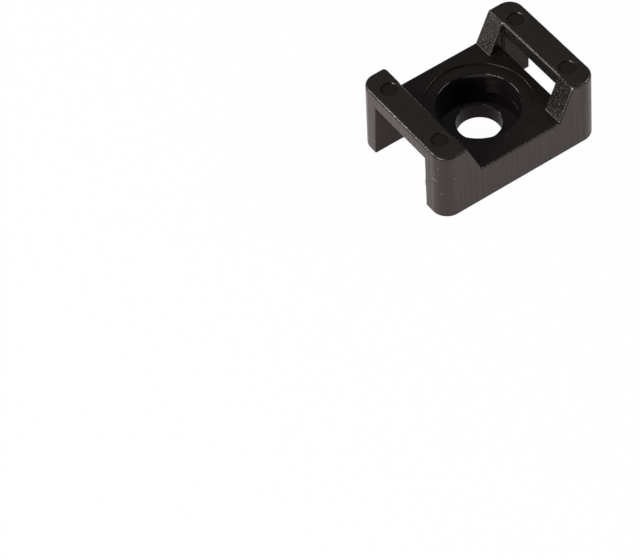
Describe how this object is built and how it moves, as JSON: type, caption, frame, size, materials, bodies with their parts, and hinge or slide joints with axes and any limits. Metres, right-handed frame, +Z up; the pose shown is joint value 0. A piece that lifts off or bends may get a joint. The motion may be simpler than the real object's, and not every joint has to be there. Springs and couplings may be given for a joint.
{
  "type": "cable tie mount",
  "caption": "Screw-fixed saddle mount for cable ties: a rectangular block with a rounded-edge saddle, a slot under each end bar and a counterbored screw hole.",
  "frame": {"origin": "middle of the flat base, on the plane that the mount rests on", "axes": "+X from end bar to end bar, along the tie; +Y across the mount, along the bundle; +Z up, out of the screw hole"},
  "size_m": [0.0222, 0.0162, 0.0096],
  "materials": {
    "black_nylon": "black polyamide, finely spark-eroded outer faces with a low sheen, polished counterbore"
  },
  "bodies": {
    "root": {"saddle_mount": "black_nylon"}
  },
  "joints": []
}
